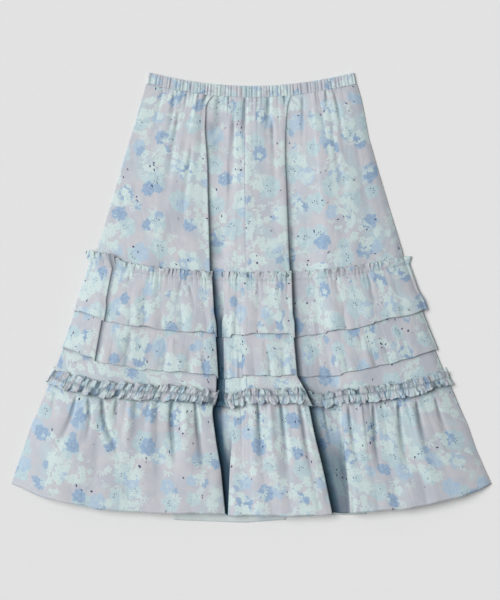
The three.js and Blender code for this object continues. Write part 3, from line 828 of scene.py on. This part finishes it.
def waistband():
    """A ring flattened to two walls. Across the wall its section is a rounded strip, down being
    reach*(1 - blunt(cos)) and out blunt(sin) of the turn. Its outer face is drawn into gathers
    |cos(pi*count)|^0.6 by the elastic."""
    turn = np.linspace(0, 2 * np.pi, 28, endpoint=False)
    reach = BAND_DEPTH / 2
    section_down = reach - reach * blunt(np.cos(turn))
    section_out = blunt(np.sin(turn))
    middle = 2.15
    half = half_width(section_down)[:, None] - middle
    front = np.linspace(-1, 1, 560)
    back = front[::-1][1:-1:3]
    quarter = np.linspace(0, np.pi, 14)[1:-1]
    across = np.concatenate([front, 1 + 0 * quarter, back, -1 + 0 * quarter])[None, :]
    end_x = np.concatenate([0 * front, np.sin(quarter), 0 * back, -np.sin(quarter)])
    up = np.concatenate([1 + 0 * front, np.cos(quarter), -1 + 0 * back, -np.cos(quarter)])
    count = 25 * across
    pucker = crest(count + 0.5 * wander(0.9 * count, 0.6), 0.6)
    pucker = pucker * (0.7 + 0.3 * wander(1.9 * count, 2.5))
    fade = (1 - np.abs(section_down / reach - 1) ** 4)[:, None]
    outer = clamp01(section_out)[:, None]
    is_front = clamp01(up)[None, :]
    front_lift = 2.1 * (pucker - 0.5) * mix(0.5, 1, fade)
    lift = outer * mix(-0.45 * (1 - pucker), front_lift, is_front)
    out = 1.15 + 1.0 * section_out[:, None] + lift
    x = across * half + end_x[None, :] * out
    z = middle + up[None, :] * out
    tip = section_down[:, None] - 0.7 * pucker * is_front * smooth(1 - section_down / 5)[:, None]
    y = line_y(x, tip)
    u = along_rows(x, z) * 1.6 + 500
    v = 0 * x - section_down[:, None] + 30
    hem = (BAND_DEPTH - section_down)[:, None] - 1.8
    faces = grid_faces(*x.shape, closed=True)
    # painted shade in the troughs of the gathers on the outer front face
    dark = 0.6 * clamp01(0.95 - 1.7 * pucker) * is_front * outer
    piece = grid_mesh(
        "waistband", x, y, z, u, v, hem, NO_STITCH, faces, wall=0, turned=True, shade=dark
    )
    dress(piece, "waistband", "elastic_casing")


# Back pieces

# What shows of the back flounce below the front: x, and how far its hem drops. Its grid has a
# column on both sides of each sudden step.
BACK_HEM = [
    (-130.5, 0), (-130, 12), (-10, BACK_DROP), (57, 11), (57.5, 6.5), (102, 6), (102.5, 3.5),
    (190, 5), (190.5, 0),
]
BACK_HEM_STEPS = [-130.25, 57.25, 102.25, 190.25]
BACK_HEM_FROM = 660


def back_rest(down):
    return from_table(BACK_REST, down)


def back_piece(
    name, downs, under, reach, columns, shift, flat, area=None, rests_on=(), insets=()
):
    """A back piece lying on the surface. Its z is what is under it, a gap, and ripples that
    never go below it: gathers times e^(-past/40) and a crumple, faded at both sides."""
    rows = downs[:, None]
    half = half_width(rows) + reach
    across = np.linspace(-1, 1, columns)[None, :]
    is_hem = name == "flounce_back"
    if is_hem:
        steps = np.add.outer(BACK_HEM_STEPS, [-0.4, 0.4]).reshape(1, -1)
        across = np.sort(np.concatenate([across, steps / half_width(HEM)], axis=1), axis=1)
    x = across * half
    inner = smooth((1 - np.abs(across)) * 8)
    y = line_y(x, rows)
    if is_hem:
        near = smooth((rows - BACK_HEM_FROM) / (HEM - BACK_HEM_FROM))
        y = y - near * from_table(BACK_HEM, x)
    if insets:
        x = drawn_in(x, rows, insets)
    gathered = np.exp(-(rows - downs[0]) / 40) * gather(70 * across * (half / 330), 0.8, 0.9)
    ripples = 0.5 * gathered + 0.18 + 0.18 * crumple(x, y, 14, reach + 0.4)
    z = of_down(under, rows) + BACK_GAP + inner * ripples
    sew(
        name, (x, y, z), (along_rows(x, z) + shift, 0 * x - rows - shift),
        hem=downs[-1] - rows - 3, flat=flat, area=area, held="laid", rests_on=rests_on,
        turned=True,
    )


def back_pieces():
    """Each one's rows, what is under it, its reach past the outline, its columns, the shift of
    its print, its flat size, its area, what it rests on and its insets."""
    body = np.linspace(BAND_DEPTH - 0.5, FRILL_LINE, 60)
    upper = np.linspace(HEADING_TOP, UPPER_HEM, 16)
    lower = np.linspace(LOWER_SEAM, LOWER_HEM, 14)
    ruched = FRILL_LINE + FRILL_HALF * np.linspace(-1, 1, 7)
    hem = np.linspace(FRILL_LINE + 0.5, HEM, 34)
    on_body = ["body_back"]
    for values in (
        ("body_back", body, back_rest, -0.4, 80, 700, (0.66, 0.52), 0.26, [], BODY_INSET),
        ("ruffle_upper_back", upper, 0, 6.6, 130, 40, (0.62, 0.105), None, on_body),
        (
            "ruffle_lower_back", lower, lower_rest, 3.6, 130, 520,
            (0.68, 0.09), None, on_body, LOWER_INSET,
        ),
        ("frill_back", ruched, 0, 6.5, 170, 230, (0.72, 0.032), None, on_body),
        ("flounce_back", hem, back_rest, -0.4, 130, 610, (0.8, 0.21)),
    ):
        back_piece(*values)


# Shader maths

def feed(tree, inputs, values):
    """Link or set each named or numbered input."""
    for key, value in values:
        if isinstance(value, Wire):
            tree.links.new(value.socket, inputs[key])
        else:
            inputs[key].default_value = value


def arithmetic(operation, reflected=False):
    """The method of an operator, which adds a Math node."""

    def method(self, other):
        return self.combined(operation, (other, self) if reflected else (self, other))

    return method


class Wire:
    """A socket of a node tree whose arithmetic adds Math nodes."""

    def __init__(self, tree, socket):
        self.tree = tree
        self.socket = socket

    def combined(self, operation, values, clamp=False):
        node = self.tree.nodes.new("ShaderNodeMath")
        node.operation = operation
        node.use_clamp = clamp
        feed(self.tree, node.inputs, enumerate(values))
        return Wire(self.tree, node.outputs[0])

    def math(self, operation, *others):
        return self.combined(operation, (self, *others))

    def __abs__(self):
        return self.math("ABSOLUTE")

    def clamped(self):
        return self.combined("ADD", (self, 0), clamp=True)

    __add__ = arithmetic("ADD")
    __sub__ = arithmetic("SUBTRACT")
    __mul__ = arithmetic("MULTIPLY")
    __truediv__ = arithmetic("DIVIDE")
    __pow__ = arithmetic("POWER")
    __radd__ = arithmetic("ADD", reflected=True)
    __rsub__ = arithmetic("SUBTRACT", reflected=True)
    __rmul__ = arithmetic("MULTIPLY", reflected=True)
    __rtruediv__ = arithmetic("DIVIDE", reflected=True)


class Shader:
    """The nodes of one material."""

    def __init__(self, name):
        self.material = bpy.data.materials.new(name)
        self.material.use_nodes = True
        self.tree = self.material.node_tree
        self.tree.nodes.clear()

    def node(self, kind, settings=None, **sockets):
        made = self.tree.nodes.new(kind)
        for key, value in (settings or {}).items():
            setattr(made, key, value)
        named = {key.replace("_", " "): value for key, value in sockets.items()}
        feed(self.tree, made.inputs, named.items())
        return made

    def out(self, node, name):
        return Wire(self.tree, node.outputs[name])

    def vector(self, operation, a, b):
        made = self.tree.nodes.new("ShaderNodeVectorMath")
        made.operation = operation
        feed(self.tree, made.inputs, [(0, a), ("Scale" if operation == "SCALE" else 1, b)])
        return Wire(self.tree, made.outputs[0])

    def blend(self, factor, a, b):
        made = self.tree.nodes.new("ShaderNodeMix")
        made.data_type = "RGBA"
        made.clamp_factor = True
        feed(self.tree, made.inputs, [(0, factor), (6, a), (7, b)])
        return Wire(self.tree, made.outputs[2])

    def noise(self, vector, scale, detail=2.0, roughness=0.5, output=0):
        """Output 0 is the noise's value, and output 1 its colour."""
        made = self.node(
            "ShaderNodeTexNoise", Vector=vector, Scale=scale, Detail=detail, Roughness=roughness
        )
        return Wire(self.tree, made.outputs[output])

    def field(self, name):
        made = self.node("ShaderNodeAttribute", {"attribute_name": name})
        return self.out(made, "Fac")

    def parts(self, vector):
        made = self.node("ShaderNodeSeparateXYZ", Vector=vector)
        return [self.out(made, axis) for axis in "XYZ"]


# How bright a white is seen in the room, the tint of full painted shade, and metres from one
# stitch and from one thread to the next
ROOM_LIGHT = 0.94
DARK_BLUE = (0.05, 0.12, 0.18)
STITCH = 0.0026
THREAD = 0.00055
TURN = 2 * np.pi


def tone(red, green, blue):
    """A colour as it is seen under the room's light, turned into the cloth's own."""
    channels = np.array([red, green, blue]) / 255
    linear = np.where(channels <= 0.04045, channels / 12.92, ((channels + 0.055) / 1.055) ** 2.4)
    return (*(linear / ROOM_LIGHT).tolist(), 1.0)


def cell_flower(
    shader, place, size, seed, share, petals, radius, notch, soft, rough=0.0, plump=0.5
):
    """One flower to a Voronoi cell of a size in millimetres, in a share of the cells: inside
    where r < radius*(1 - notch*(1 - |cos(petals*a/2)|^plump)). Gives the mask, the distance
    from the middle in millimetres and the angle."""
    scaled = shader.vector("SCALE", place, 1000 / size)
    moved = shader.vector("ADD", scaled, (seed * 3.7, seed * 5.1, 0))
    flat_cells = {"voronoi_dimensions": "2D", "feature": "F1"}
    cells = shader.node(
        "ShaderNodeTexVoronoi", flat_cells, Vector=moved, Scale=1.0, Randomness=0.85
    )
    chances = shader.node("ShaderNodeSeparateColor", Color=shader.out(cells, "Color"))
    one, two, three = (shader.out(chances, name) for name in ("Red", "Green", "Blue"))
    x, y, _ = shader.parts(shader.vector("SUBTRACT", moved, shader.out(cells, "Position")))
    distance = shader.out(cells, "Distance") * size
    angle = y.math("ARCTAN2", x) + two * 6.283
    lobes = abs((angle * (petals / 2)).math("COSINE")) ** plump
    edge = radius * (0.72 + 0.42 * three) * (1 - notch * (1 - lobes)) + rough
    mask = ((edge - distance) / soft).clamped() * one.math("LESS_THAN", share)
    return mask, distance, angle


def print_colour(shader, place):
    """Loose painted flowers on a lilac-grey ground, all bent by a noise."""
    bend = shader.vector("SUBTRACT", shader.noise(place, 40, 1.0, output=1), (0.5, 0.5, 0.5))
    place = shader.vector("ADD", place, shader.vector("SCALE", bend, 0.011))
    fine = shader.noise(place, 210, 1.0)
    wobble = (fine - 0.5) * 8
    patch = (shader.noise(place, 24, 3.0, 0.6) * 4 - 1.5).clamped()
    colour = shader.blend(patch, tone(184, 188, 197), tone(196, 197, 202))
    haze = ((shader.noise(place, 17) - 0.53) * 9).clamped()
    colour = shader.blend(haze * 0.7, colour, tone(182, 201, 208))

    def flowers(size, seed, share, **form):
        return cell_flower(shader, place, size, seed, share, **form)

    def painted(amount, red, green, blue):
        return shader.blend(amount, colour, tone(red, green, blue))

    # large pale aqua flowers
    mask, distance, angle = flowers(
        50, 1, 0.85, petals=5, radius=18, notch=0.26, soft=1.2, rough=wobble
    )
    streak = (angle * 6).math("SINE") * 0.4 + (fine * 4 - 1.6)
    aqua = shader.blend(streak.clamped(), tone(177, 200, 207), tone(187, 207, 211))
    colour = shader.blend(mask * 0.92, colour, aqua)
    heart = (1 - distance / 5).clamped() * mask
    colour = painted(heart * 0.5, 168, 192, 203)
    ticks = (abs((angle * 3.5).math("COSINE")) - 0.86) * 12
    ring = (1.3 - abs(distance - 4.6) / 1.5).clamped()
    half = ((angle + 1).math("COSINE") * 6 + 2).clamped()
    colour = painted(ticks.clamped() * ring * mask * half, 80, 84, 114)
    # light blue flowers
    mask = flowers(58, 2, 0.6, petals=6, radius=15, notch=0.24, soft=1.4, rough=wobble)[0]
    pale = shader.blend((fine * 3 - 1).clamped(), tone(166, 190, 210), tone(178, 198, 214))
    colour = shader.blend(mask * 0.9, colour, pale)
    # mid-blue flowers with frilled edges, small and large
    mask = flowers(46, 11, 0.34, petals=5, radius=8.0, notch=0.3, soft=1.0, rough=wobble * 0.7)[0]
    colour = painted(mask * 0.92, 152, 176, 200)
    mask, distance, angle = flowers(
        60, 7, 0.66, petals=7, radius=13.5, notch=0.3, soft=1.0, rough=wobble
    )
    petal = ((angle * 4 + distance * 0.5).math("SINE") * 0.3 + (fine * 3.2 - 1.1)).clamped()
    blue = shader.blend(petal, tone(142, 167, 194), tone(156, 179, 202))
    colour = shader.blend(mask, colour, blue)
    ticks = ((abs((angle * 2.5).math("SINE")) - 0.93) * 12).clamped()
    ring = (1 - abs(distance - 4) / 2).clamped()
    colour = painted(ticks * ring * mask * half * 0.8, 80, 86, 124)
    # clumps of mint-white blossoms, and brush strokes in fans round them
    clump = shader.noise(place, 18, 1.0)
    here = ((clump - 0.485) * 16).clamped()
    for seed, size, radius in ((5, 19, 8.0), (6, 15, 6.2), (9, 24, 9.6)):
        mask, distance, _ = flowers(
            size, seed, 0.7, petals=5, radius=radius, notch=0.62, soft=0.7, rough=wobble * 0.16
        )
        colour = painted(mask * here * 0.92, 201, 217, 216)
        heart = (1 - distance / 1.6).clamped() * mask * here
        colour = painted(heart * 0.6, 165, 192, 198)
    here = ((clump - 0.4) * 12).clamped()
    for seed, size, share in ((3, 32, 0.55), (4, 26, 0.4)):
        mask, distance, angle = flowers(
            size, seed, share, petals=9, radius=12, notch=0.85, soft=0.8, plump=1.0
        )
        fan = ((angle * 0.5).math("COSINE") * 4 + 0.4).clamped() * (distance - 2.5).clamped()
        colour = painted(mask * fan * here * 0.9, 201, 216, 216)
    # navy specks in small groups
    group = ((shader.noise(place, 38, 0.0) - 0.59) * 20).clamped()
    mask = flowers(8.5, 8, 0.18, petals=2, radius=2.3, notch=0.55, soft=0.5, plump=1.0)[0]
    return painted(mask * group, 72, 72, 106)


def cotton(name, wrong_side=False):
    """Printed cotton lawn. hem and head are the distances from two lines of stitches, and shade
    is how far painted shade darkens the colour: in folds, clefts, creases, under edges, at the
    right."""
    shader = Shader(name)
    uv = shader.out(shader.node("ShaderNodeUVMap", {"uv_map": "cloth"}), "UV")
    colour = print_colour(shader, uv)
    if wrong_side:
        colour = shader.blend(0.7, colour, tone(214, 223, 222))
    u, v, _ = shader.parts(uv)
    dash = ((u * (TURN / STITCH)).math("SINE") * 3 + 1.6).clamped()
    near = abs(shader.field("hem")).math("MINIMUM", abs(shader.field("head")))
    stitch = (1.6 - near / 0.00025).clamped() * dash
    colour = shader.blend(stitch * 0.55, colour, tone(214, 222, 230))
    groove = (1 - near / 0.0012).clamped()
    weave = (u * (TURN / THREAD)).math("SINE") * (v * (TURN / THREAD)).math("SINE")
    slub = shader.noise(shader.vector("MULTIPLY", uv, (900.0, 120.0, 1.0)), 1.0, 1.0)
    crushed = shader.noise(uv, 130, 3.0, 0.55)
    wrinkle = shader.noise(shader.vector("MULTIPLY", uv, (26.0, 12.0, 1.0)), 1.0, 1.0)
    wrinkle = abs(wrinkle - 0.5).math("MINIMUM", 0.07)
    colour = shader.blend((slub - 0.5) * 0.25 + weave * 0.04, colour, tone(176, 184, 200))
    # painted shade: the shade attribute darkens the colour towards DARK_BLUE
    dark = shader.vector("MULTIPLY", colour, DARK_BLUE)
    colour = shader.blend(shader.field("shade") * 0.985, colour, dark)
    height = wrinkle * 0.0045 + crushed * 0.0003 + weave * 0.00001 + slub * 0.00002
    height = height + stitch * 0.00012 - groove * 0.0003
    bump = shader.node("ShaderNodeBump", Strength=0.8, Distance=1.0, Height=height)
    finish = shader.node(
        "ShaderNodeBsdfPrincipled", Base_Color=colour, Roughness=0.8 + slub * 0.12,
        Normal=shader.out(bump, "Normal"), Sheen_Weight=0.12, Sheen_Roughness=0.5,
        Specular_IOR_Level=0.25,
    )
    shader.node("ShaderNodeOutputMaterial", Surface=shader.out(finish, "BSDF"))
    return shader.material


def floor():
    paper = Shader("pale_paper")
    place = paper.out(paper.node("ShaderNodeTexCoord"), "Object")
    colour = paper.blend(paper.noise(place, 240), tone(223, 223, 223), tone(227, 227, 227))
    finish = paper.node("ShaderNodeBsdfPrincipled", Base_Color=colour, Roughness=0.9)
    paper.node("ShaderNodeOutputMaterial", Surface=paper.out(finish, "BSDF"))
    mesh = bpy.data.meshes.new("floor")
    reach = 6.0
    below = -0.0003
    corners = [(x * reach, y * reach, below) for x, y in ((-1, -1), (1, -1), (1, 1), (-1, 1))]
    mesh.from_pydata(corners, [], [(0, 1, 2, 3)])
    mesh.materials.append(paper.material)
    placed("floor", mesh)


def room_light():
    scene = bpy.context.scene
    world = bpy.data.worlds.new("room")
    world.use_nodes = True
    sky = world.node_tree.nodes["Background"]
    sky.inputs["Color"].default_value = (1.0, 1.0, 1.0, 1.0)
    sky.inputs["Strength"].default_value = 0.27
    scene.world = world
    lamp = bpy.data.lights.new("window", "SUN")
    lamp.energy = 2.62
    lamp.angle = 0.75
    placed("window", lamp).rotation_euler = (np.radians(-9), np.radians(-35), 0)
    scene.view_settings.view_transform = "Standard"


def camera():
    lens = bpy.data.cameras.new("above")
    lens.sensor_fit = "VERTICAL"
    lens.sensor_height = 24
    lens.lens = 96.4
    eye = placed("above", lens)
    eye.location = (-0.0025, -0.0038, 4.0)
    bpy.context.scene.camera = eye


camera()
room_light()
floor()
face = cotton("printed_cotton_face")
inside = cotton("printed_cotton_inside", wrong_side=True)
MATERIALS = {"printed_cotton": [face, inside], "elastic_casing": [face]}
for sewn in (waistband, body_panels, upper_ruffle, lower_ruffle, frill, flounce, back_pieces):
    sewn()
